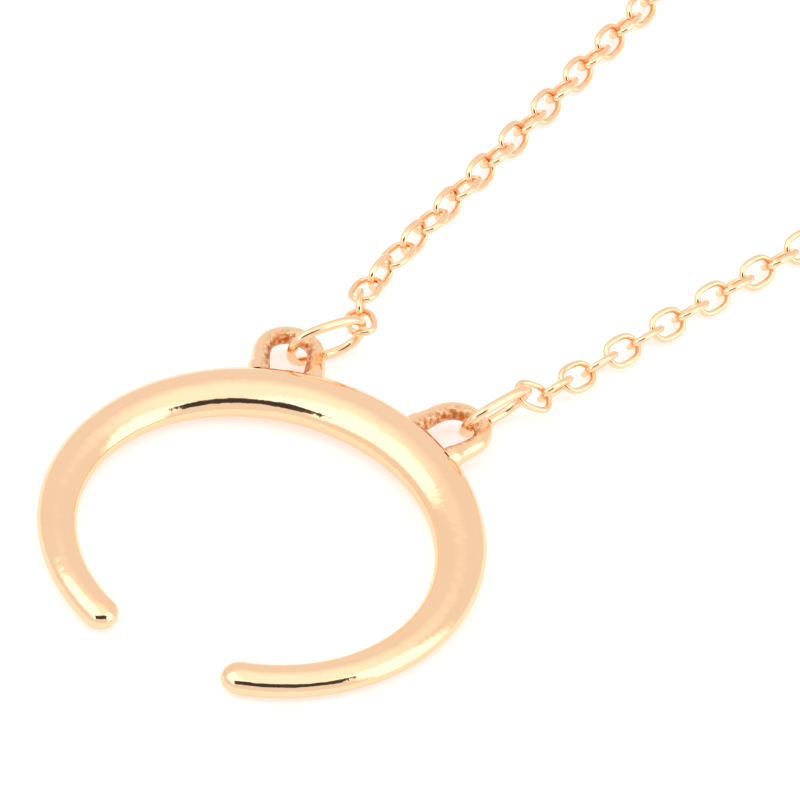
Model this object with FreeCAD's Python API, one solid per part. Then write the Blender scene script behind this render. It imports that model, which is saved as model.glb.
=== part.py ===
import FreeCAD, Part
import math
import os
from FreeCAD import Matrix, Placement, Vector

# Pendant necklace: a cast open crescent on an oval cable chain.
# The origin is on the flat back of the crescent, at the middle of its thick side.
# +Z points up out of the pendant's face and +Y from the crescent's gap to its lugs.
# All values are in millimetres and degrees.

# crescent
CRESCENT_RADIUS = 13.5         # outer edge of the crescent
MIDDLE_HALF_WIDTH = 1.97       # half of the section's width at the thick middle
TIP_HALF_WIDTH = 1.14
MIDDLE_HALF_DEPTH = 1.23       # half of the section's depth at the thick middle
TIP_HALF_DEPTH = 0.80
TAPER_POWER = 3.8              # how quickly the thick middle thins out
TIP_ANGLE = 157.6              # where the round tips begin, from the middle
BACK_FLAT_DEPTH = 0.12         # how far the back is ground flat
SECTIONS_PER_ARM = 12
SECTIONS_PER_TIP = 5

# lugs, cast in one piece with the crescent
LUG_ANGLE = 22.5               # each side of the middle
LUG_STANDOFF = 1.6             # from the crescent's outer edge to the lug's centre
LUG_HOLE_RADIUS = 1.12
LUG_WIRE = 1.10                # thickness of the lug's loop
LUG_FOOT_WIRE = 1.30           # thickness where a leg meets the crescent
LUG_HEIGHT = 1.25              # loop's centreline above the back

# gaps between pieces that move, and under the resting chain
CLEARANCE = 0.05
TABLE_GAP = 0.05

# necklace chain
LINK_PITCH = 2.0               # length that one link adds to the chain
LINK_WIDTH = 1.95
LINK_WIRE = 0.42
LINK_LEAN = 45.0               # a link leans this much to either side
LEAN_PER_LINK = 3.0            # how fast a twisted stretch comes back to that lean

# jump rings between the lugs and the chain
JUMP_RING_LENGTH = 5.6
JUMP_RING_WIDTH = 3.3
JUMP_RING_WIRE = 0.6

# lobster clasp, flat in XY with its eye at the origin and its nose along X
CLASP_THICKNESS = 2.2
CLASP_EYE_DIAMETER = 3.2
CLASP_EYE_WIRE = 0.8
CLASP_TAIL = (2.6, 0.1, 1.5)   # x, y and radius of the rounded tail
CLASP_HEEL = (4.4, 0.5, 1.9)   # x, y and radius of the rounded heel
CLASP_HOOK = (7.0, 0.0)        # centre of the curved hook
CLASP_HOOK_OUTER = 2.8
CLASP_HOOK_INNER = 1.5
LEVER_PIVOT = (4.3, -0.9)
LEVER_REACH = 3.54             # from the pivot to the lever's nose
LEVER_GAP = 0.06               # between the lever's nose and the hook
LEVER_THICKNESS = 0.9
LEVER_OUTER = 2.45             # edges of the lever's finger, about the hook's centre
LEVER_INNER = 1.6
LEVER_HUB_RADIUS = 0.95
LEVER_TAB = (3.3, -2.6, 0.6)   # x, y and radius of the thumb tab
SLOT_GAP = 0.05                # each side of the lever
SLOT_BOX = (2.6, -3.2, 7.0, 1.1)
PIN_DIAMETER = 0.6
PIN_CLEARANCE = 0.03
SPRING_THICKNESS = 0.12
SPRING_WIDTH = 0.7

# round rings at the clasp and at the extender
RING_DIAMETER = 3.8
RING_WIRE = 0.6
RING_LEAN = 50.0
CLASP_PITCH = -2.5
CLASP_LEAN = 2.0

# extender chain and its drop
EXTENDER_LINKS = 12
EXTENDER_PITCH = 3.4
EXTENDER_WIDTH = 3.0
EXTENDER_WIRE = 0.5
DROP_EYE_DIAMETER = 2.4
DROP_EYE_WIRE = 0.5
DROP_RADIUS = 1.35
DROP_LENGTH = 4.6              # from the eye's centre to the middle of the drop's ball
DROP_PITCH = 2.5

# strands: single links near the pendant, then sections of several links each
LEFT_SINGLE_LINKS = 21
RIGHT_SINGLE_LINKS = 14
SECTIONS_PER_STRAND = 6
LEFT_SECTION_LINKS = 12
RIGHT_SECTION_LINKS = 13
SPREAD_LINKS = 5               # straight section links before a strand bends away
LEFT_BENDS = [(34, 26), (400, -70)]    # length and radius of each bend, left turns positive
RIGHT_BENDS = [(20, -26), (400, 46)]

# how the pieces lie, as (heading, pitch) from +X and from level
LEFT_RING_DIRECTION = (57.6, 1.2)
LEFT_RING_LEAN = 83.6
LEFT_RING_SEAT = (0.35, 0.07)  # lug's loop from the ring's near bend centre, and the gap across
LEFT_LOOP_ANGLE = 51.0         # heading from the lug's centre to where the ring crosses it
LEFT_HOOK_ANGLE = 10.0         # where the first link crosses the ring's far bend
LEFT_START = [(128, -12), (113, -18), (95, -6), (88, -1)]
LEFT_HEADING = 86.2
RIGHT_RING_DIRECTION = (69.1, 2.6)
RIGHT_RING_LEAN = 69.6
RIGHT_RING_SEAT = (0.0, 0.10)
RIGHT_LOOP_ANGLE = 59.4
RIGHT_HOOK_ANGLE = 0.0
RIGHT_START = [(40, -28), (74, -3)]
RIGHT_HEADING = 71.5
STEEPEST_PITCH = 30.0
FIRST_LINK_SLACK = 0.12
TAIL_SLACK = 0.15

centreline_radius = CRESCENT_RADIUS - MIDDLE_HALF_WIDTH
lug_centre_radius = CRESCENT_RADIUS + LUG_STANDOFF
crescent_centre = Vector(0, -centreline_radius, 0)
UP = Vector(0, 0, 1)


def heading_vector(degrees):
    return Vector(math.cos(math.radians(degrees)), math.sin(math.radians(degrees)), 0)


def save(name, shape):
    shape.exportStep(os.path.join("parts", name + ".step"))


# --- crescent pendant -------------------------------------------------------

def section_sizes(angle):
    share = math.cos(math.radians(angle) / 2) ** TAPER_POWER
    half_width = TIP_HALF_WIDTH + (MIDDLE_HALF_WIDTH - TIP_HALF_WIDTH) * share
    half_depth = TIP_HALF_DEPTH + (MIDDLE_HALF_DEPTH - TIP_HALF_DEPTH) * share
    return half_width, half_depth


def crescent_section(angle, scale):
    half_width, half_depth = section_sizes(angle)
    outward = heading_vector(90 + angle)
    centre = crescent_centre + outward * (CRESCENT_RADIUS - half_width)
    centre = centre + UP * (half_depth - BACK_FLAT_DEPTH)
    long_end = centre + outward * (half_width * scale)
    short_end = centre + UP * (half_depth * scale)
    return Part.Wire([Part.Ellipse(long_end, short_end, centre).toShape()])


def tip_sections():
    """Sections of one round tip, as (angle, scale), from the arm outwards."""
    tip_turn = math.degrees(TIP_HALF_WIDTH / (CRESCENT_RADIUS - TIP_HALF_WIDTH))
    sections = []
    for step in range(1, SECTIONS_PER_TIP + 1):
        share = math.sin(math.radians(87) * step / SECTIONS_PER_TIP)
        sections.append((TIP_ANGLE + tip_turn * share, math.sqrt(1 - share * share)))
    return sections


def crescent_arm(side):
    """Half of the crescent, from its middle to one round tip."""
    sections = []
    for step in range(SECTIONS_PER_ARM + 1):
        angle = TIP_ANGLE * step / SECTIONS_PER_ARM
        sections.append(crescent_section(side * angle, 1.0))
    sections += [crescent_section(side * angle, scale) for angle, scale in tip_sections()]
    return Part.makeLoft(sections, True, False)


def crescent():
    body = crescent_arm(1).fuse(crescent_arm(-1))
    size = 4 * CRESCENT_RADIUS
    below = Part.makeBox(size, size, size, Vector(-size / 2, -size / 2, -size) + crescent_centre)
    return body.cut(below)


def lug(side):
    """Loop and two flared legs of one cast lug; side is +1 left, -1 right."""
    outward = heading_vector(90 + side * LUG_ANGLE)
    across = outward.cross(UP)
    centre = crescent_centre + outward * lug_centre_radius + UP * LUG_HEIGHT
    bend = LUG_HOLE_RADIUS + LUG_WIRE / 2
    leg_length = lug_centre_radius - centreline_radius - MIDDLE_HALF_WIDTH / 2
    arch = Part.makeTorus(bend, LUG_WIRE / 2, Vector(), UP, 0, 360, 180)
    arch.Placement = frame_placement(centre, across, outward)
    shape = arch
    for way in (1, -1):
        start = centre + across * (way * bend)
        leg = Part.makeCone(LUG_WIRE / 2, LUG_FOOT_WIRE / 2, leg_length, start, -outward)
        shape = shape.fuse(leg)
    return shape


def crescent_pendant():
    return crescent().multiFuse([lug(1), lug(-1)]).removeSplitter().Solids[0]


# --- rings and links --------------------------------------------------------

def frame_placement(centre, along, across):
    normal = along.cross(across)
    return Placement(Matrix(along.x, across.x, normal.x, centre.x,
                            along.y, across.y, normal.y, centre.y,
                            along.z, across.z, normal.z, centre.z,
                            0, 0, 0, 1))


def oval_ring(length, width, wire):
    """Closed oval ring of round wire, centred, long way along X, flat in XY."""
    bend = (width - wire) / 2
    half = (length - width) / 2
    start = Vector(-half, -bend, 0)
    edges = [Part.Arc(Vector(half, -bend, 0), Vector(half + bend, 0, 0), Vector(half, bend, 0)).toShape(),
             Part.Arc(Vector(-half, bend, 0), Vector(-half - bend, 0, 0), start).toShape()]
    if half > 0:
        edges.insert(0, Part.LineSegment(start, Vector(half, -bend, 0)).toShape())
        edges.insert(2, Part.LineSegment(Vector(half, bend, 0), Vector(-half, bend, 0)).toShape())
    profile = Part.Wire([Part.makeCircle(wire / 2, start, Vector(1, 0, 0))])
    return Part.Wire(edges).makePipeShell([profile], True, False)


def direction_and_lateral(heading, pitch, lean):
    """Unit vector along a piece, and the one across it when it leans sideways."""
    level = heading_vector(heading)
    along = level * math.cos(math.radians(pitch)) + UP * math.sin(math.radians(pitch))
    right = level.cross(UP)
    top = right.cross(along)
    across = right * math.cos(math.radians(lean)) + top * math.sin(math.radians(lean))
    return along, across


class Ring:
    """One ring or link as it lies: its size, centre and directions."""

    def __init__(self, length, width, wire, centre, along, across):
        self.length = length
        self.width = width
        self.wire = wire
        self.centre = centre
        self.along = along
        self.across = across
        self.bend = (width - wire) / 2

    def shape(self):
        ring = oval_ring(self.length, self.width, self.wire)
        ring.Placement = frame_placement(self.centre, self.along, self.across)
        return ring

    def hook(self, angle):
        """Point and tangent of the far bend's wire, at an angle from its end."""
        turn = math.radians(angle)
        outward = self.along * math.cos(turn) + self.across * math.sin(turn)
        tangent = self.across * math.cos(turn) - self.along * math.sin(turn)
        bend_centre = self.centre + self.along * (self.length / 2 - self.wire / 2 - self.bend)
        return bend_centre + outward * self.bend, tangent

    def end(self):
        return self.centre + self.along * (self.length / 2 - self.wire / 2)

    def natural_angle(self, along):
        return math.degrees(math.atan2(along.dot(self.across), along.dot(self.along)))


def next_ring(parent, size, along, across, slack=0.0, angle=None):
    """Ring of a (length, width, wire) size that pulls on its parent's far bend."""
    length, width, wire = size
    if angle is None:
        angle = parent.natural_angle(along)
    point, tangent = parent.hook(angle)
    seat = length / 2 - wire - parent.wire / 2 - CLEARANCE - slack
    return Ring(length, width, wire, point + along * seat, along, across)


def square_lean(along, tangent):
    """Lean that sets a ring's plane square to the wire it hangs on."""
    right = Vector(along.x, along.y, 0).normalize().cross(UP)
    across = along.cross(tangent)
    lean = math.degrees(math.atan2(across.dot(right.cross(along)), across.dot(right)))
    return fold_lean(lean)


def fold_lean(lean):
    return (lean + 90) % 180 - 90


def resting_height(size, lean):
    length, width, wire = size
    drop = (width - wire) / 2 * abs(math.sin(math.radians(lean)))
    return drop + wire / 2 + TABLE_GAP


def chain_size(pitch, width, wire):
    return pitch + 2 * wire + CLEARANCE, width, wire


LINK = chain_size(LINK_PITCH, LINK_WIDTH, LINK_WIRE)
EXTENDER_LINK = chain_size(EXTENDER_PITCH, EXTENDER_WIDTH, EXTENDER_WIRE)
JUMP_RING = (JUMP_RING_LENGTH, JUMP_RING_WIDTH, JUMP_RING_WIRE)
ROUND_RING = (RING_DIAMETER, RING_DIAMETER, RING_WIRE)
CLASP_EYE = (CLASP_EYE_DIAMETER, CLASP_EYE_DIAMETER, CLASP_EYE_WIRE)
DROP_EYE = (DROP_EYE_DIAMETER, DROP_EYE_DIAMETER, DROP_EYE_WIRE)


def next_lean(lean):
    """The next link stands square to this one and untwists a little."""
    lean = fold_lean(lean + 90)
    target = math.copysign(LINK_LEAN, lean)
    step = max(-LEAN_PER_LINK, min(LEAN_PER_LINK, target - lean))
    return lean + step


def level_pitch(parent, size, heading, height):
    """Pitch that brings a ring's far end to a height, no steeper than a limit."""
    hook_point, _ = parent.hook(parent.natural_angle(heading_vector(heading)))
    reach = size[0] - size[2] - (size[2] + parent.wire) / 2 - CLEARANCE
    rise = (height - hook_point.z) / reach
    steepest = math.sin(math.radians(STEEPEST_PITCH))
    return math.degrees(math.asin(max(-steepest, min(steepest, rise))))


def jump_ring(side, direction, lean, seat, loop_angle):
    """Jump ring that stands in a lug; side is +1 left, -1 right."""
    outward = heading_vector(90 + side * LUG_ANGLE)
    lug_centre = crescent_centre + outward * lug_centre_radius + UP * LUG_HEIGHT
    crossing = lug_centre + heading_vector(loop_angle) * (LUG_HOLE_RADIUS + LUG_WIRE / 2)
    along, across = direction_and_lateral(direction[0], direction[1], lean)
    bend = (JUMP_RING_WIDTH - JUMP_RING_WIRE) / 2
    inward = (JUMP_RING_LENGTH - JUMP_RING_WIDTH) / 2 - seat[0]
    sideways = bend - (LUG_WIRE + JUMP_RING_WIRE) / 2 - seat[1]
    centre = crossing + along * inward + across * sideways
    return Ring(*JUMP_RING, centre, along, across)


def strand(ring, hook_angle, start, heading, singles, grouped, bends):
    """All cable links from a jump ring to the end of a strand, as they lie."""
    links = []
    parent = ring
    for index in range(singles + grouped):
        travelled = max(0, index - singles - SPREAD_LINKS + 1) * LINK_PITCH
        link_heading = heading + bend_turn(bends, travelled)
        pitch = None
        if index < len(start):
            link_heading, pitch = start[index]
        if index == 0:
            level, _ = direction_and_lateral(link_heading, pitch, 0)
            lean = square_lean(level, parent.hook(hook_angle)[1])
        else:
            lean = next_lean(lean)
        if pitch is None:
            height = max(resting_height(LINK, lean), resting_height(LINK, next_lean(lean)))
            if index == singles + grouped - 1:
                height = resting_height(ROUND_RING, RING_LEAN)
            pitch = level_pitch(parent, LINK, link_heading, height)
        along, across = direction_and_lateral(link_heading, pitch, lean)
        if index == 0:
            parent = next_ring(parent, LINK, along, across, FIRST_LINK_SLACK, hook_angle)
        else:
            parent = next_ring(parent, LINK, along, across)
        links.append(parent)
    return links, lean, travelled


def bend_turn(bends, travelled):
    """Turn in degrees after a length travelled along a row of bends."""
    turn = 0.0
    for length, radius in bends:
        part_length = min(length, travelled)
        turn += math.degrees(part_length / radius)
        travelled -= part_length
    return turn


def tail(strand_end, pieces, heading, bends):
    """Larger rings after the cable links, on along the same bends.

    Each piece is (size, lean, pitch); with no pitch it lies at its resting height.
    """
    links, lean, travelled = strand_end
    parent = links[-1]
    side = -math.copysign(1, lean)
    rings = []
    for index, (size, lean, pitch) in enumerate(pieces):
        travelled += size[0] - 2 * size[2]
        ring_heading = heading + bend_turn(bends, travelled)
        if pitch is None:
            following = pieces[min(index + 1, len(pieces) - 1)]
            height = max(resting_height(size, lean), resting_height(following[0], following[1]))
            pitch = level_pitch(parent, size, ring_heading, height)
        along, across = direction_and_lateral(ring_heading, pitch, side * lean)
        parent = next_ring(parent, size, along, across, TAIL_SLACK)
        rings.append(parent)
        side = -side
    return rings


# --- lobster clasp ----------------------------------------------------------

def disc(x, y, radius, thickness):
    return Part.makeCylinder(radius, thickness, Vector(x, y, -thickness / 2))


def bridge(first, second, thickness):
    """Flat piece between two discs given as (x, y, radius), along their tangents."""
    x1, y1, r1 = first
    x2, y2, r2 = second
    axis = math.atan2(y2 - y1, x2 - x1)
    lean = math.acos((r1 - r2) / math.hypot(x2 - x1, y2 - y1))
    corners = []
    for x, y, radius, side in ((x1, y1, r1, 1), (x2, y2, r2, 1), (x2, y2, r2, -1), (x1, y1, r1, -1)):
        angle = axis + side * lean
        corners.append(Vector(x + radius * math.cos(angle), y + radius * math.sin(angle), -thickness / 2))
    face = Part.Face(Part.makePolygon(corners + [corners[0]]))
    return face.extrude(Vector(0, 0, thickness))


def sector(centre, outer, inner, start, end, thickness):
    """Part of a flat ring, from one angle to another in degrees."""
    ring = Part.makeCylinder(outer, thickness, Vector(centre[0], centre[1], -thickness / 2), UP, end - start)
    hole = Part.makeCylinder(inner, thickness, Vector(centre[0], centre[1], -thickness / 2))
    ring.rotate(Vector(centre[0], centre[1], 0), UP, start)
    return ring.cut(hole)


def clasp_body():
    thick = CLASP_THICKNESS
    hook = sector(CLASP_HOOK, CLASP_HOOK_OUTER, CLASP_HOOK_INNER, -70, 160, thick)
    swing = disc(LEVER_PIVOT[0], LEVER_PIVOT[1], LEVER_REACH + LEVER_GAP, thick)
    lower = Part.makeBox(10, 10, 10, Vector(6.5, -10.9, -5))
    body = hook.cut(swing.common(lower))
    for piece in (disc(*CLASP_TAIL, thick), disc(*CLASP_HEEL, thick), bridge(CLASP_TAIL, CLASP_HEEL, thick)):
        body = body.fuse(piece)
    body = body.removeSplitter()
    body = body.fuse(oval_ring(*CLASP_EYE))
    left, low, right, high = SLOT_BOX
    depth = LEVER_THICKNESS + 2 * SLOT_GAP
    body = body.cut(Part.makeBox(right - left, high - low, depth, Vector(left, low, -depth / 2)))
    body = body.cut(disc(*LEVER_PIVOT, PIN_DIAMETER / 2, thick))
    return body.removeSplitter().Solids[0]


def clasp_lever():
    thick = LEVER_THICKNESS
    finger = sector(CLASP_HOOK, LEVER_OUTER, LEVER_INNER, -166, -50, thick)
    lever = finger.common(disc(*LEVER_PIVOT, LEVER_REACH, thick))
    hub = (LEVER_PIVOT[0], LEVER_PIVOT[1], LEVER_HUB_RADIUS)
    for piece in (disc(*hub, thick), disc(*LEVER_TAB, thick), bridge(hub, LEVER_TAB, thick)):
        lever = lever.fuse(piece)
    lever = lever.cut(disc(*LEVER_PIVOT, PIN_DIAMETER / 2 + PIN_CLEARANCE, thick))
    return lever.removeSplitter().Solids[0]


def clasp_pin():
    return disc(*LEVER_PIVOT, PIN_DIAMETER / 2, CLASP_THICKNESS)


def clasp_spring():
    """Bent leaf in the far corner of the clasp's slot."""
    left, low, right, high = SLOT_BOX
    wall = Vector(left, 0, -SPRING_WIDTH / 2)
    roof = Vector(left, high - SPRING_THICKNESS, -SPRING_WIDTH / 2)
    standing = Part.makeBox(SPRING_THICKNESS, high, SPRING_WIDTH, wall)
    lying = Part.makeBox(2.0, SPRING_THICKNESS, SPRING_WIDTH, roof)
    return standing.fuse(lying).removeSplitter()


def extender_drop():
    ball = Part.makeSphere(DROP_RADIUS, Vector(DROP_LENGTH, 0, 0))
    lean = math.asin(DROP_RADIUS / DROP_LENGTH)
    cone_end = DROP_LENGTH - DROP_RADIUS * math.sin(lean)
    end_radius = DROP_RADIUS * math.cos(lean)
    cone_start = DROP_EYE_DIAMETER / 2 - DROP_EYE_WIRE / 2
    start_radius = end_radius * cone_start / cone_end
    cone = Part.makeCone(start_radius, end_radius, cone_end - cone_start,
                         Vector(cone_start, 0, 0), Vector(1, 0, 0))
    return ball.fuse(cone).fuse(oval_ring(*DROP_EYE)).removeSplitter().Solids[0]


def lay(shape, ring):
    shape.Placement = frame_placement(ring.centre, ring.along, ring.across)
    return shape


# --- whole necklace ---------------------------------------------------------

def write_strand(side_name, links, singles, per_section):
    for index in range(singles):
        save("chain_link_%s_%02d" % (side_name, index + 1), links[index].shape())
    for section in range(SECTIONS_PER_STRAND):
        first = singles + section * per_section
        group = [link.shape() for link in links[first:first + per_section]]
        save("chain_section_%s_%d" % (side_name, section + 1), Part.makeCompound(group))


def lay_out():
    """Every ring and link of the necklace as it lies, by strand."""
    left_ring = jump_ring(1, LEFT_RING_DIRECTION, LEFT_RING_LEAN, LEFT_RING_SEAT, LEFT_LOOP_ANGLE)
    right_ring = jump_ring(-1, RIGHT_RING_DIRECTION, RIGHT_RING_LEAN, RIGHT_RING_SEAT, RIGHT_LOOP_ANGLE)
    left = strand(left_ring, LEFT_HOOK_ANGLE, LEFT_START, LEFT_HEADING, LEFT_SINGLE_LINKS,
                  SECTIONS_PER_STRAND * LEFT_SECTION_LINKS, LEFT_BENDS)
    right = strand(right_ring, RIGHT_HOOK_ANGLE, RIGHT_START, RIGHT_HEADING, RIGHT_SINGLE_LINKS,
                   SECTIONS_PER_STRAND * RIGHT_SECTION_LINKS, RIGHT_BENDS)
    ring = (ROUND_RING, RING_LEAN, None)
    left_tail = tail(left, [ring, (CLASP_EYE, CLASP_LEAN, CLASP_PITCH)], LEFT_HEADING, LEFT_BENDS)
    extender = [(EXTENDER_LINK, LINK_LEAN, None)] * EXTENDER_LINKS
    drop = (DROP_EYE, LINK_LEAN, DROP_PITCH)
    right_tail = tail(right, [ring] + extender + [drop], RIGHT_HEADING, RIGHT_BENDS)
    return left_ring, left[0], left_tail, right_ring, right[0], right_tail


def main():
    os.makedirs("parts", exist_ok=True)
    left_ring, left, left_tail, right_ring, right, right_tail = lay_out()
    save("crescent_pendant", crescent_pendant())
    save("jump_ring_left", left_ring.shape())
    save("jump_ring_right", right_ring.shape())
    write_strand("left", left, LEFT_SINGLE_LINKS, LEFT_SECTION_LINKS)
    write_strand("right", right, RIGHT_SINGLE_LINKS, RIGHT_SECTION_LINKS)
    clasp_ring, clasp_eye = left_tail
    save("clasp_ring", clasp_ring.shape())
    save("clasp_body", lay(clasp_body(), clasp_eye))
    save("clasp_lever", lay(clasp_lever(), clasp_eye))
    save("clasp_pin", lay(clasp_pin(), clasp_eye))
    save("clasp_spring", lay(clasp_spring(), clasp_eye))
    save("extender_ring", right_tail[0].shape())
    half = EXTENDER_LINKS // 2
    for number, first in ((1, 1), (2, 1 + half)):
        group = [ring.shape() for ring in right_tail[first:first + half]]
        save("extender_section_%d" % number, Part.makeCompound(group))
    save("extender_drop", lay(extender_drop(), right_tail[-1]))


main()
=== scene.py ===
import math

import bmesh
import bpy
import numpy as np
from mathutils import Matrix, Vector


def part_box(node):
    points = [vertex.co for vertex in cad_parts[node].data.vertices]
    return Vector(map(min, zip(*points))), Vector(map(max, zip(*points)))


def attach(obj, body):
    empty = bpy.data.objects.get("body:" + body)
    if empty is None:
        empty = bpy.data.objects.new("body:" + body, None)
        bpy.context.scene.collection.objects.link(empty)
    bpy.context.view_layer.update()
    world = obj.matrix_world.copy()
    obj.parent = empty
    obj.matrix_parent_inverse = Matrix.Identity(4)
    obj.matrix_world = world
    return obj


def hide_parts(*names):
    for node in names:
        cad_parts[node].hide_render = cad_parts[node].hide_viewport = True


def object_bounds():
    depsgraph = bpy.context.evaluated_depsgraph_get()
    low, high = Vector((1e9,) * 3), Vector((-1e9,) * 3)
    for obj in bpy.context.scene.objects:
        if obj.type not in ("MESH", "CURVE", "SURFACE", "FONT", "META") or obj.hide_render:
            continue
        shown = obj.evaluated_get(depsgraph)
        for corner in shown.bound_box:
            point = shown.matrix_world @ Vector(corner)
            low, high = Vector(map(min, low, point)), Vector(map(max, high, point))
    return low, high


bl_info = {
    "name": "Crescent Necklace",
    "version": (1, 0, 0),
    "blender": (4, 5, 0),
    "location": "View3D > Sidebar > Necklace",
    "description": "Cast crescent pendant on a fine cable chain, with clasp and extender",
    "category": "Object",
}

MM = 0.001
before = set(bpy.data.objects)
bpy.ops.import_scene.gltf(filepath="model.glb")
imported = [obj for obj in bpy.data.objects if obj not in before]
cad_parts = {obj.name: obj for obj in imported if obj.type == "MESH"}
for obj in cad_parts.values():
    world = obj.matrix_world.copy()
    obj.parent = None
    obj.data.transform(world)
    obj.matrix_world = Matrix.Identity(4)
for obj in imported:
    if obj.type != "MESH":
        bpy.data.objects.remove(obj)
CAD_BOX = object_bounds()


# --- colours and small helpers ----------------------------------------------

def linear(hex_colour):
    """An sRGB hex colour as linear red, green, blue and full alpha."""
    parts = [int(hex_colour[start:start + 2], 16) / 255 for start in (1, 3, 5)]
    values = [part / 12.92 if part <= 0.04045 else ((part + 0.055) / 1.055) ** 2.4 for part in parts]
    return (*values, 1.0)


def add_node(tree, kind, settings=None, inputs=None, links=None):
    """A node with its settings, input values and incoming links, each by name or number."""
    node = tree.nodes.new(kind)
    for name, value in (settings or {}).items():
        setattr(node, name, value)
    for name, value in (inputs or {}).items():
        node.inputs[name].default_value = value
    for name, source in (links or {}).items():
        tree.links.new(source, node.inputs[name])
    return node


def smooth_step(edge_low, edge_high, value):
    share = min(1.0, max(0.0, (value - edge_low) / (edge_high - edge_low)))
    return share * share * (3 - 2 * share)


# --- sizes and finishes that a user would change -------------------------------

class NecklaceSizes(bpy.types.PropertyGroup):
    middle_width: bpy.props.FloatProperty(
        name="Middle Width", description="Half width of the crescent at its thick middle",
        default=1.97 * MM, unit="LENGTH", precision=5)
    tip_width: bpy.props.FloatProperty(
        name="Tip Width", description="Half width of the crescent at its tips",
        default=1.14 * MM, unit="LENGTH", precision=5)
    middle_depth: bpy.props.FloatProperty(
        name="Middle Depth", description="Half depth of the crescent at its thick middle",
        default=1.23 * MM, unit="LENGTH", precision=5)
    tip_depth: bpy.props.FloatProperty(
        name="Tip Depth", description="Half depth of the crescent at its tips",
        default=0.80 * MM, unit="LENGTH", precision=5)
    back_flat: bpy.props.FloatProperty(
        name="Back Flat", description="How far the back is ground flat",
        default=0.12 * MM, unit="LENGTH", precision=5)
    lug_wire: bpy.props.FloatProperty(
        name="Lug Thickness", description="Thickness of a lug's loop",
        default=1.10 * MM, unit="LENGTH", precision=5)
    lug_hole: bpy.props.FloatProperty(
        name="Lug Hole", description="Radius of a lug's hole",
        default=1.12 * MM, unit="LENGTH", precision=5)
    ring_gap: bpy.props.FloatProperty(
        name="Ring Gap", description="Hairline gap where a jump ring's wire ends meet",
        default=0.05 * MM, unit="LENGTH", precision=6)


class NecklaceFinishes(bpy.types.PropertyGroup):
    plating: bpy.props.FloatVectorProperty(
        name="Plating", description="Colour of the polished rose-gold plating",
        subtype="COLOR", size=4, min=0, max=1, default=linear("#FFD8B2"))
    plating_deep: bpy.props.FloatVectorProperty(
        name="Deep Plating", description="Colour where the plating is thicker and redder",
        subtype="COLOR", size=4, min=0, max=1, default=linear("#FCCFA4"))
    # painted shade: this darker, redder colour is laid on the lug holes' inner walls to stand in for the
    # shade there; only the holes' rough grain is real
    plating_hole_shade: bpy.props.FloatVectorProperty(
        name="Hole Shade Plating", description="Colour inside the lug holes, which polishing never reached",
        subtype="COLOR", size=4, min=0, max=1, default=linear("#C97A40"))
    spring_steel: bpy.props.FloatVectorProperty(
        name="Spring Steel", description="Colour of the clasp's leaf spring",
        subtype="COLOR", size=4, min=0, max=1, default=linear("#BEBAB4"))


# --- materials -----------------------------------------------------------------

PLATING_DRIFT = 6 * MM         # distance over which the plating's colour drifts
SMEAR_SIZE = 1.5 * MM          # smears from the polishing mop
CASTING_WAVE = 1.3 * MM        # broad unevenness of a surface
RIPPLE_SIZE = 0.6 * MM         # finer unevenness on top of it
RIPPLE_SHARE = 1 / 1.5         # how high the ripple is, against the broad unevenness
RAW_GRAIN = 0.32 * MM          # grain where polishing never reached
RAW_HEIGHT = 0.20 * MM
RAW_ROUGHNESS = 0.34


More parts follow.
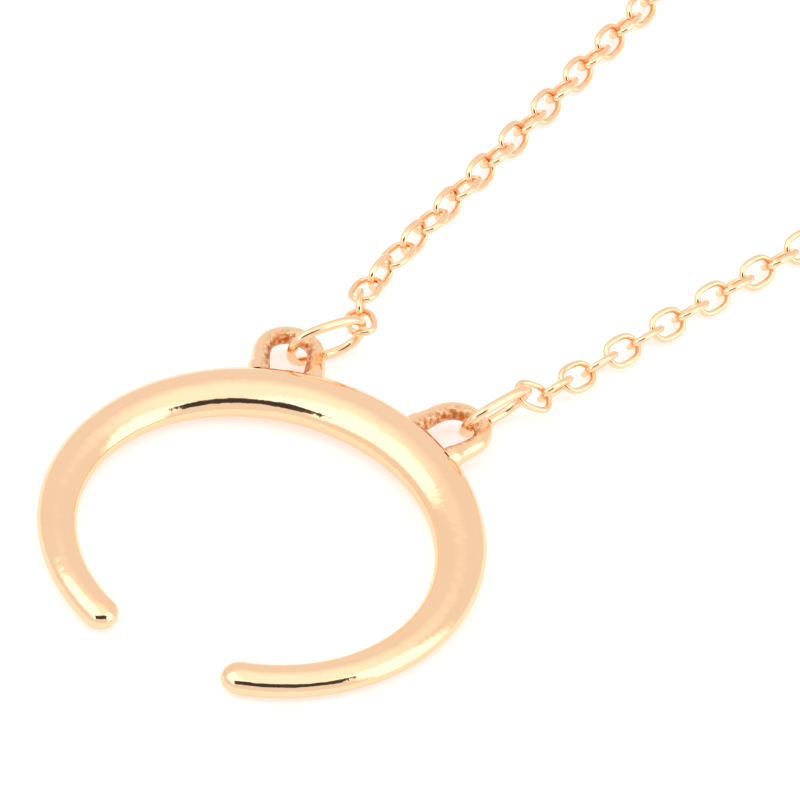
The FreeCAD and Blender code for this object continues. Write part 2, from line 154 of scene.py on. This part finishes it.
def plated_brass(name, peel, roughness):
    """Cast brass, barrel polished and rose-gold plated.

    It gives the eye a warm mirror: clear reflections whose edges waver a little,
    because the casting is never quite even, and a dull grain in the lug holes, where the colour is also
    painted darker and redder as shade.
    """
    material = bpy.data.materials.new(name)
    material.use_nodes = True
    tree = material.node_tree
    shader = tree.nodes["Principled BSDF"]
    finishes = bpy.context.scene.necklace_finishes
    place = add_node(tree, "ShaderNodeTexCoord").outputs["Object"]
    # mask of the lug holes' inner walls: a real rough grain there, and painted shade in the base colour
    rough_and_shaded = add_node(tree, "ShaderNodeAttribute", {"attribute_name": "unpolished_and_shaded"}).outputs["Fac"]

    # the plating's thickness drifts over a few millimetres
    drift = add_node(tree, "ShaderNodeTexNoise", inputs={"Scale": 1 / PLATING_DRIFT, "Detail": 3.0},
                     links={"Vector": place})
    tone = add_node(tree, "ShaderNodeMix", {"data_type": "RGBA"},
                    {6: finishes.plating, 7: finishes.plating_deep}, {0: drift.outputs["Fac"]})
    grain = add_node(tree, "ShaderNodeTexNoise", inputs={"Scale": 1 / RAW_GRAIN, "Detail": 3.0},
                     links={"Vector": place})
    spots = add_node(tree, "ShaderNodeMapRange", inputs={"From Min": 0.42, "From Max": 0.62},
                     links={"Value": grain.outputs["Fac"]})
    # painted shade: inside the lug holes the plating's colour turns darker and redder, flecked by the grain
    hole_shade_tone = add_node(tree, "ShaderNodeMix", {"data_type": "RGBA"},
                          {6: finishes.plating_hole_shade, 7: finishes.plating_deep}, {0: spots.outputs["Result"]})
    hole_shaded = add_node(tree, "ShaderNodeMix", {"data_type": "RGBA"},
                    links={0: rough_and_shaded, 6: tone.outputs[2], 7: hole_shade_tone.outputs[2]})
    tree.links.new(hole_shaded.outputs[2], shader.inputs["Base Color"])
    shader.inputs["Metallic"].default_value = 1.0

    # faint smears from the polishing mop, and a dull grain where it didn't reach
    smear = add_node(tree, "ShaderNodeTexNoise", inputs={"Scale": 1 / SMEAR_SIZE, "Detail": 4.0},
                     links={"Vector": place})
    gloss = add_node(tree, "ShaderNodeMapRange",
                     inputs={"To Min": roughness * 0.7, "To Max": roughness * 1.4},
                     links={"Value": smear.outputs["Fac"]})
    dull = add_node(tree, "ShaderNodeMix", inputs={3: RAW_ROUGHNESS},
                    links={0: rough_and_shaded, 2: gloss.outputs["Result"]})
    tree.links.new(dull.outputs[0], shader.inputs["Roughness"])

    # casting unevenness, a finer ripple on it, then the grain in the lug holes
    waves = add_node(tree, "ShaderNodeTexNoise", inputs={"Scale": 1 / CASTING_WAVE, "Detail": 2.0},
                     links={"Vector": place})
    uneven = add_node(tree, "ShaderNodeBump", inputs={"Strength": 1.0, "Distance": peel},
                      links={"Height": waves.outputs["Fac"]})
    rough_height = add_node(tree, "ShaderNodeMath", {"operation": "MULTIPLY"},
                            links={0: grain.outputs["Fac"], 1: rough_and_shaded})
    ripple = add_node(tree, "ShaderNodeTexNoise", inputs={"Scale": 1 / RIPPLE_SIZE, "Detail": 3.0},
                      links={"Vector": place})
    fine = add_node(tree, "ShaderNodeBump", inputs={"Strength": 1.0, "Distance": peel * RIPPLE_SHARE},
                    links={"Height": ripple.outputs["Fac"], "Normal": uneven.outputs["Normal"]})
    coarse = add_node(tree, "ShaderNodeBump", inputs={"Strength": 1.0, "Distance": RAW_HEIGHT},
                      links={"Height": rough_height.outputs[0], "Normal": fine.outputs["Normal"]})
    tree.links.new(coarse.outputs["Normal"], shader.inputs["Normal"])
    return material


def drawn_wire(name):
    """Drawn brass wire, formed into rings and rose-gold plated: brighter and smoother than the casting."""
    return plated_brass(name, peel=0.012 * MM, roughness=0.14)


def blued_steel(name):
    """Thin rolled spring strip: grey metal with a fine brushed grain."""
    material = bpy.data.materials.new(name)
    material.use_nodes = True
    tree = material.node_tree
    shader = tree.nodes["Principled BSDF"]
    shader.inputs["Metallic"].default_value = 1.0
    place = add_node(tree, "ShaderNodeTexCoord").outputs["Object"]
    grain = add_node(tree, "ShaderNodeTexNoise", inputs={"Scale": 1 / (0.1 * MM)}, links={"Vector": place})
    tone = add_node(tree, "ShaderNodeMix", {"data_type": "RGBA"},
                    {6: bpy.context.scene.necklace_finishes.spring_steel, 7: linear("#8F8B86")},
                    {0: grain.outputs["Fac"]})
    tree.links.new(tone.outputs[2], shader.inputs["Base Color"])
    gloss = add_node(tree, "ShaderNodeMapRange", inputs={"To Min": 0.25, "To Max": 0.4},
                     links={"Value": grain.outputs["Fac"]})
    tree.links.new(gloss.outputs["Result"], shader.inputs["Roughness"])
    return material


def finish_of(name, maker, *sizes):
    """The material of that name, made the first time it is asked for."""
    return bpy.data.materials.get(name) or maker(name, *sizes)


def casting_finish():
    return finish_of("rose_gold_plated_casting", plated_brass, 0.022 * MM, 0.10)


def wire_finish():
    return finish_of("rose_gold_plated_wire", drawn_wire)


# --- making a piece --------------------------------------------------------------

def make_piece(name, mesh_builder, body, nodes, material, levels):
    """Turns a bmesh into a piece that rides on a body and stands for CAD nodes."""
    bmesh.ops.recalc_face_normals(mesh_builder, faces=mesh_builder.faces)
    mesh = bpy.data.meshes.new(name)
    mesh_builder.to_mesh(mesh)
    mesh_builder.free()
    mesh.shade_smooth()
    mesh.materials.append(material)
    piece = bpy.data.objects.new(name, mesh)
    bpy.context.scene.collection.objects.link(piece)
    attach(piece, body)
    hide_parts(*nodes)
    rounding = piece.modifiers.new("rounding", "SUBSURF")
    rounding.levels = levels
    rounding.render_levels = levels
    return piece


def shrink(turn):
    """How much a subdivided outline of equal turns, in radians, draws in from its corners."""
    return (4 + 2 * math.cos(turn)) / 6


def extrude_on(mesh_builder, edges, matrix):
    """Extrudes a loop of edges and moves the new loop by a matrix."""
    grown = bmesh.ops.extrude_edge_only(mesh_builder, edges=edges)["geom"]
    verts = [item for item in grown if isinstance(item, bmesh.types.BMVert)]
    bmesh.ops.transform(mesh_builder, matrix=matrix, verts=verts)
    return [item for item in grown if isinstance(item, bmesh.types.BMEdge)]


def spin_on(mesh_builder, edges, centre, axis, angle, steps):
    """Carries a loop of edges round an arc."""
    verts = list({vert for edge in edges for vert in edge.verts})
    turned = bmesh.ops.spin(mesh_builder, geom=verts + edges, cent=centre, axis=axis,
                            angle=angle, steps=steps, use_merge=False)
    return [item for item in turned["geom_last"] if isinstance(item, bmesh.types.BMEdge)]


def wire_end(mesh_builder, edges):
    bmesh.ops.contextual_create(mesh_builder, geom=edges)


WIRE_SIDES = 6       # corners of a wire's section before it is rounded
BEND_STEPS = 5       # steps round each half turn


def wire_ring(length, width, wire, gap=0.0):
    """Oval ring of round wire, centred, long way along X and flat in XY.

    With a gap it is an open ring whose wire ends almost meet on one long side.
    """
    mesh_builder = bmesh.new()
    bend = (width - wire) / 2 / shrink(math.pi / BEND_STEPS)
    half = (length - wire) / 2 - (width - wire) / 2
    radius = wire / 2 / shrink(2 * math.pi / WIRE_SIDES)
    start = gap / 2 if gap else -half
    upright = Matrix.Translation((start, -bend, 0)) @ Matrix.Rotation(math.pi / 2, 4, "Y")
    bmesh.ops.create_circle(mesh_builder, segments=WIRE_SIDES, radius=radius, matrix=upright)
    loop = list(mesh_builder.edges)
    if gap:
        wire_end(mesh_builder, loop)
        loop = extrude_on(mesh_builder, loop, Matrix.Translation((gap, 0, 0)))
        loop = extrude_on(mesh_builder, loop, Matrix.Translation((half - start - gap, 0, 0)))
    elif half > 0:
        loop = extrude_on(mesh_builder, loop, Matrix.Translation((2 * half, 0, 0)))
    loop = spin_on(mesh_builder, loop, (half, 0, 0), (0, 0, 1), math.pi, BEND_STEPS)
    if half > 0:
        loop = extrude_on(mesh_builder, loop, Matrix.Translation((-2 * half, 0, 0)))
    loop = spin_on(mesh_builder, loop, (-half, 0, 0), (0, 0, 1), math.pi, BEND_STEPS)
    if gap:
        loop = extrude_on(mesh_builder, loop, Matrix.Translation((half - start - gap, 0, 0)))
        loop = extrude_on(mesh_builder, loop, Matrix.Translation((gap, 0, 0)))
        wire_end(mesh_builder, loop)
    bmesh.ops.remove_doubles(mesh_builder, verts=mesh_builder.verts, dist=0.001 * MM)
    return mesh_builder


# --- where the CAD rings lie -------------------------------------------------------

def islands(node):
    """The loose solids of a CAD node, each as an array of points."""
    merged = bmesh.new()
    merged.from_mesh(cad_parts[node].data)
    bmesh.ops.remove_doubles(merged, verts=merged.verts, dist=1e-7)
    left = set(merged.verts)
    found = []
    for seed in merged.verts:
        if seed not in left:
            continue
        left.remove(seed)
        group = [seed]
        for vert in group:
            for edge in vert.link_edges:
                other = edge.other_vert(vert)
                if other in left:
                    left.remove(other)
                    group.append(other)
        found.append(np.array([vert.co for vert in group]))
    merged.free()
    return found


def ring_frame(points):
    """A ring's placement, length, width and wire, from its points' main directions."""
    middle = points.mean(axis=0)
    _, axes = np.linalg.eigh(np.cov((points - middle).T))
    axes = axes[:, ::-1]
    spread = (points - middle) @ axes
    low, high = spread.min(axis=0), spread.max(axis=0)
    centre = middle + axes @ ((low + high) / 2)
    along, across = Vector(axes[:, 0]), Vector(axes[:, 1])
    placement = Matrix((along, across, along.cross(across))).transposed().to_4x4()
    placement.translation = Vector(centre)
    return placement, high - low


def add_ring(target, points, gap=0.0):
    """Adds one formed ring to a bmesh, where its CAD ring lies."""
    placement, size = ring_frame(points)
    ring = wire_ring(*(float(value) for value in size), gap)
    bmesh.ops.transform(ring, matrix=placement, verts=ring.verts)
    mesh = bpy.data.meshes.new("ring")
    ring.to_mesh(mesh)
    ring.free()
    target.from_mesh(mesh)
    bpy.data.meshes.remove(mesh)


def ring_piece(node, body, levels, gap=0.0):
    """A piece of wire rings that stands for a CAD node of the same rings."""
    mesh_builder = bmesh.new()
    for points in islands(node):
        add_ring(mesh_builder, points, gap)
    return make_piece("formed_" + node, mesh_builder, body, [node], wire_finish(), levels)


# --- crescent --------------------------------------------------------------------

CRESCENT_STEPS = 120       # sections from tip to tip
SECTION_SIDES = 24
TIP_ANGLE = math.radians(157.6)
TAPER_POWER = 3.8
TIP_STEPS = 6
LUG_ANGLE = math.radians(22.5)


def crescent_radius():
    low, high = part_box("crescent_pendant")
    return (high.x - low.x) / 2


def section_placement(angle, scale):
    """Placement of the crescent's section at an angle from its middle."""
    sizes = bpy.context.scene.necklace_sizes
    radius = crescent_radius()
    share = math.cos(angle / 2) ** TAPER_POWER
    half_width = sizes.tip_width + (sizes.middle_width - sizes.tip_width) * share
    half_depth = sizes.tip_depth + (sizes.middle_depth - sizes.tip_depth) * share
    centre = Matrix.Translation((0, sizes.middle_width - radius, 0))
    turned = Matrix.Rotation(angle, 4, "Z")
    out = Matrix.Translation((0, radius - half_width, half_depth - sizes.back_flat))
    upright = Matrix.Rotation(math.pi / 2, 4, "Y")
    # the section circle is drawn in XY: its X becomes height and its Y points outwards
    grow = 1 / shrink(2 * math.pi / SECTION_SIDES)
    flat = Matrix.Diagonal((half_depth * scale * grow, half_width * scale * grow, 1, 1))
    return centre @ turned @ out @ upright @ flat


def crescent_sections():
    """(angle, scale) of each section from one round tip to the other."""
    tip_width = bpy.context.scene.necklace_sizes.tip_width
    tip_turn = tip_width / (crescent_radius() - tip_width)
    tip = []
    for step in range(1, TIP_STEPS + 1):
        share = math.sin(math.radians(86) * step / TIP_STEPS)
        tip.append((TIP_ANGLE + tip_turn * share, math.sqrt(1 - share * share)))
    arm = []
    for step in range(CRESCENT_STEPS + 1):
        arm.append((TIP_ANGLE * (1 - 2 * step / CRESCENT_STEPS), 1.0))
    return tip[::-1] + arm + [(-angle, scale) for angle, scale in tip]


def add_crescent(mesh_builder):
    sections = crescent_sections()
    placed = section_placement(*sections[0])
    bmesh.ops.create_circle(mesh_builder, segments=SECTION_SIDES, radius=1.0, matrix=placed)
    loop = list(mesh_builder.edges)
    wire_end(mesh_builder, loop)
    for angle, scale in sections[1:]:
        following = section_placement(angle, scale)
        loop = extrude_on(mesh_builder, loop, following @ placed.inverted())
        placed = following
    wire_end(mesh_builder, loop)
    for vert in mesh_builder.verts:
        vert.co.z = max(vert.co.z, 0.0)


LUG_SIDES = 12
LUG_STEPS = 10
LUG_CENTRE_OUT = 15.1 * MM     # from the crescent's centre to the lug's centre
LUG_HEIGHT = 1.25 * MM
FOOT_FLARE = 0.30              # how much wider a leg's foot is where it meets the crescent
FOOT_REACH = 0.55 * MM         # height over which the foot flares


def lug_placement(side):
    """Lug's frame: X across, Y outwards, Z up; side is +1 left, -1 right."""
    sizes = bpy.context.scene.necklace_sizes
    centre = Matrix.Translation((0, sizes.middle_width - crescent_radius(), 0))
    out = Matrix.Translation((0, LUG_CENTRE_OUT, LUG_HEIGHT))
    return centre @ Matrix.Rotation(side * LUG_ANGLE, 4, "Z") @ out


def add_lug(mesh_builder, side):
    """A cast loop on two legs, with feet that flare into the crescent."""
    sizes = bpy.context.scene.necklace_sizes
    lug = bmesh.new()
    bend = (sizes.lug_hole + sizes.lug_wire / 2) / shrink(math.pi / LUG_STEPS)
    radius = sizes.lug_wire / 2 / shrink(2 * math.pi / LUG_SIDES)
    edge = LUG_CENTRE_OUT - crescent_radius()
    heights = [-edge - 0.7 * MM, -edge - 0.25 * MM, -edge, -edge + 0.15 * MM,
               -edge + 0.35 * MM, -edge + 0.7 * MM, -edge + 1.1 * MM, 0.0]

    def leg_width(height):
        return 1 + FOOT_FLARE * math.exp(-max(0.0, height + edge) / FOOT_REACH)

    lying = Matrix.Translation((bend, heights[0], 0)) @ Matrix.Rotation(-math.pi / 2, 4, "X")
    bmesh.ops.create_circle(lug, segments=LUG_SIDES, radius=radius * leg_width(heights[0]), matrix=lying)
    loop = list(lug.edges)

    def climb(loop, first, second, x):
        scale = leg_width(second) / leg_width(first)
        here = Matrix.Translation((x, first, 0))
        there = Matrix.Translation((x, second, 0))
        return extrude_on(lug, loop, there @ Matrix.Diagonal((scale, 1, scale, 1)) @ here.inverted())

    for first, second in zip(heights, heights[1:]):
        loop = climb(loop, first, second, bend)
    loop = spin_on(lug, loop, (0, 0, 0), (0, 0, 1), math.pi, LUG_STEPS)
    for first, second in zip(heights[::-1], heights[-2::-1]):
        loop = climb(loop, first, second, -bend)
    bmesh.ops.recalc_face_normals(lug, faces=lug.faces)
    lug.normal_update()
    # the loop's inward faces, the hole's walls: marked for a rough grain and for painted shade in the
    # plating's colour
    inside = []
    for vert in lug.verts:
        inward = -Vector((vert.co.x, max(vert.co.y, 0.0), 0.0)).normalized()
        inside.append(smooth_step(0.1, 0.7, vert.normal.dot(inward)))
    bmesh.ops.transform(lug, matrix=lug_placement(side), verts=lug.verts)
    mesh = bpy.data.meshes.new("lug")
    lug.to_mesh(mesh)
    lug.free()
    first = len(mesh_builder.verts)
    mesh_builder.from_mesh(mesh)
    bpy.data.meshes.remove(mesh)
    mesh_builder.verts.ensure_lookup_table()
    unpolished_and_shaded = mesh_builder.verts.layers.float["unpolished_and_shaded"]
    for offset, value in enumerate(inside):
        mesh_builder.verts[first + offset][unpolished_and_shaded] = value


class NECKLACE_OT_crescent(bpy.types.Operator):
    """Make the cast crescent with its two lugs"""
    bl_idname = "necklace.crescent"
    bl_label = "Crescent"

    def execute(self, context):
        mesh_builder = bmesh.new()
        mesh_builder.verts.layers.float.new("unpolished_and_shaded")
        add_crescent(mesh_builder)
        for side in (1, -1):
            add_lug(mesh_builder, side)
        make_piece("crescent", mesh_builder, "pendant", ["crescent_pendant"],
                   casting_finish(), 2)
        return {"FINISHED"}


class NECKLACE_OT_jump_rings(bpy.types.Operator):
    """Make the two jump rings between the lugs and the chain"""
    bl_idname = "necklace.jump_rings"
    bl_label = "Jump Rings"

    def execute(self, context):
        for side in ("left", "right"):
            ring_piece("jump_ring_" + side, "jump_ring_" + side, 3, context.scene.necklace_sizes.ring_gap)
        return {"FINISHED"}


def nodes_named(start):
    return sorted(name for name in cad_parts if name.startswith(start))


class NECKLACE_OT_chain(bpy.types.Operator):
    """Make the cable chain's links, singly near the pendant and in sections beyond"""
    bl_idname = "necklace.chain"
    bl_label = "Chain"

    def execute(self, context):
        for node in nodes_named("chain_link_"):
            ring_piece(node, node, 2)
        for node in nodes_named("chain_section_"):
            ring_piece(node, node, 1)
        return {"FINISHED"}


class NECKLACE_OT_end_rings(bpy.types.Operator):
    """Make the clasp's ring, the extender's ring and the extender chain"""
    bl_idname = "necklace.end_rings"
    bl_label = "End Rings and Extender"

    def execute(self, context):
        for node in ("clasp_ring", "extender_ring"):
            ring_piece(node, node, 2)
        for node in nodes_named("extender_section_"):
            ring_piece(node, node, 2)
        return {"FINISHED"}


class NECKLACE_OT_clasp(bpy.types.Operator):
    """Finish the lobster clasp and the extender's drop"""
    bl_idname = "necklace.clasp"
    bl_label = "Clasp and Drop"

    def execute(self, context):
        for node in ("clasp_body", "clasp_lever", "clasp_pin", "extender_drop"):
            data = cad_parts[node].data
            data.materials.clear()
            data.materials.append(casting_finish())
        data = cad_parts["clasp_spring"].data
        data.materials.clear()
        data.materials.append(finish_of("spring_steel_strip", blued_steel))
        return {"FINISHED"}


# --- stage -------------------------------------------------------------------------

CAMERA_AZIMUTH = math.radians(21.26)
CAMERA_ELEVATION = math.radians(43.36)
CAMERA_ROLL = math.radians(9.57)
CAMERA_DISTANCE = 506.2 * MM
CAMERA_TARGET = Vector((1.25, 4.02, 0.0)) * MM
CAMERA_LENS = 373.7


def direction(azimuth, elevation):
    """Unit vector towards an azimuth from -Y, turning towards +X, and an elevation, in radians."""
    level = math.cos(elevation)
    return Vector((math.sin(azimuth) * level, -math.cos(azimuth) * level, math.sin(elevation)))


def add_camera(scene):
    back = direction(CAMERA_AZIMUTH, CAMERA_ELEVATION)
    right = Vector((math.cos(CAMERA_AZIMUTH), math.sin(CAMERA_AZIMUTH), 0))
    up = back.cross(right)
    side = right * math.cos(CAMERA_ROLL) + up * math.sin(CAMERA_ROLL)
    top = back.cross(side)
    camera = bpy.data.objects.new("camera", bpy.data.cameras.new("camera"))
    camera.data.lens = CAMERA_LENS
    camera.data.clip_start = 0.01
    camera.data.clip_end = 50
    axes = Matrix((side, top, back)).transposed().to_4x4()
    camera.matrix_world = Matrix.Translation(CAMERA_TARGET + back * CAMERA_DISTANCE) @ axes
    scene.collection.objects.link(camera)
    scene.camera = camera


def card_mask(tree, view, azimuth, elevation, half_width, half_height, softness):
    """Mask of a flat card in the surroundings, by its direction and half sizes in degrees."""
    ahead = direction(math.radians(azimuth), math.radians(elevation))
    across = Vector((0, 0, 1)).cross(ahead).normalized()
    up = ahead.cross(across)
    depth = add_node(tree, "ShaderNodeVectorMath", {"operation": "DOT_PRODUCT"}, {1: ahead}, {0: view})
    mask = add_node(tree, "ShaderNodeMath", {"operation": "GREATER_THAN"}, {1: 0.01},
                    {0: depth.outputs["Value"]}).outputs[0]
    for axis, half in ((across, half_width), (up, half_height)):
        offset = add_node(tree, "ShaderNodeVectorMath", {"operation": "DOT_PRODUCT"}, {1: axis}, {0: view})
        ratio = add_node(tree, "ShaderNodeMath", {"operation": "DIVIDE"},
                         links={0: offset.outputs["Value"], 1: depth.outputs["Value"]})
        size = add_node(tree, "ShaderNodeMath", {"operation": "ABSOLUTE"}, links={0: ratio.outputs[0]})
        edge = math.tan(math.radians(half))
        soft = math.tan(math.radians(softness))
        inside = add_node(tree, "ShaderNodeMapRange", {"interpolation_type": "SMOOTHSTEP"},
                          {"From Min": edge + soft, "From Max": edge - soft}, {"Value": size.outputs[0]})
        mask = add_node(tree, "ShaderNodeMath", {"operation": "MULTIPLY"},
                        links={0: mask, 1: inside.outputs["Result"]}).outputs[0]
    return mask


STUDIO_CARDS = (
    # level, azimuth, elevation, half width, half height and softness in degrees
    (1.9, -42, 58, 36, 24, 8),
    (1.9, 102, 26, 20, 36, 6),
    (0.05, 36, 53, 30, 13, 1.0),
)


def add_surroundings(scene):
    """A white tent with two brighter panels and the dark camera side between them."""
    world = bpy.data.worlds.new("studio")
    world.use_nodes = True
    tree = world.node_tree
    view = add_node(tree, "ShaderNodeTexCoord").outputs["Generated"]
    height = add_node(tree, "ShaderNodeSeparateXYZ", links={0: view}).outputs["Z"]
    level = add_node(tree, "ShaderNodeMapRange", {"interpolation_type": "SMOOTHSTEP"},
                     {"From Min": 0.7, "From Max": 0.95, "To Min": 0.93, "To Max": 1.3},
                     {"Value": height}).outputs["Result"]
    for brightness, *card in STUDIO_CARDS:
        mask = card_mask(tree, view, *card)
        level = add_node(tree, "ShaderNodeMix", inputs={3: brightness},
                         links={0: mask, 2: level}).outputs[0]
    tree.links.new(level, tree.nodes["Background"].inputs["Strength"])
    tree.nodes["Background"].inputs["Color"].default_value = (1, 1, 1, 1)
    scene.world = world


FLOOR_RADIUS = 6.0
FLOOR_GLOW = 0.55              # the floor's own light, which keeps the shadows pale


def add_floor(scene):
    mesh_builder = bmesh.new()
    ground = Matrix.Translation((0, 0, min(0.0, CAD_BOX[0].z)))
    bmesh.ops.create_circle(mesh_builder, cap_ends=True, segments=64, radius=FLOOR_RADIUS, matrix=ground)
    mesh = bpy.data.meshes.new("floor")
    mesh_builder.to_mesh(mesh)
    mesh_builder.free()
    paper = bpy.data.materials.new("matt_white_paper")
    paper.use_nodes = True
    shader = paper.node_tree.nodes["Principled BSDF"]
    shader.inputs["Base Color"].default_value = linear("#CBC9C7")
    shader.inputs["Roughness"].default_value = 0.9
    shader.inputs["Specular IOR Level"].default_value = 0.0
    shader.inputs["Emission Color"].default_value = linear("#FFF8F4")
    shader.inputs["Emission Strength"].default_value = FLOOR_GLOW
    mesh.materials.append(paper)
    floor = bpy.data.objects.new("floor", mesh)
    scene.collection.objects.link(floor)


class NECKLACE_OT_stage(bpy.types.Operator):
    """Set up the white floor, the soft studio light and the camera"""
    bl_idname = "necklace.stage"
    bl_label = "Stage"

    def execute(self, context):
        scene = context.scene
        scene.view_settings.view_transform = "Standard"
        add_surroundings(scene)
        add_floor(scene)
        add_camera(scene)
        return {"FINISHED"}


class NECKLACE_PT_panel(bpy.types.Panel):
    """Lists the necklace's pieces"""
    bl_idname = "NECKLACE_PT_panel"
    bl_label = "Crescent Necklace"
    bl_space_type = "VIEW_3D"
    bl_region_type = "UI"
    bl_category = "Necklace"

    def draw(self, context):
        for operator in OPERATORS:
            self.layout.operator(operator.bl_idname)
        for group in (context.scene.necklace_sizes, context.scene.necklace_finishes):
            for name in group.bl_rna.properties.keys():
                if name not in ("rna_type", "name"):
                    self.layout.prop(group, name)


OPERATORS = (
    NECKLACE_OT_crescent,
    NECKLACE_OT_jump_rings,
    NECKLACE_OT_chain,
    NECKLACE_OT_end_rings,
    NECKLACE_OT_clasp,
    NECKLACE_OT_stage,
)
CLASSES = (NecklaceSizes, NecklaceFinishes, *OPERATORS, NECKLACE_PT_panel)


def register():
    for cls in CLASSES:
        bpy.utils.register_class(cls)
    bpy.types.Scene.necklace_sizes = bpy.props.PointerProperty(type=NecklaceSizes)
    bpy.types.Scene.necklace_finishes = bpy.props.PointerProperty(type=NecklaceFinishes)


def unregister():
    del bpy.types.Scene.necklace_finishes
    del bpy.types.Scene.necklace_sizes
    for cls in reversed(CLASSES):
        bpy.utils.unregister_class(cls)


def main():
    register()
    for operator in OPERATORS:
        group, name = operator.bl_idname.split(".")
        getattr(getattr(bpy.ops, group), name)()


if __name__ == "__main__":
    main()
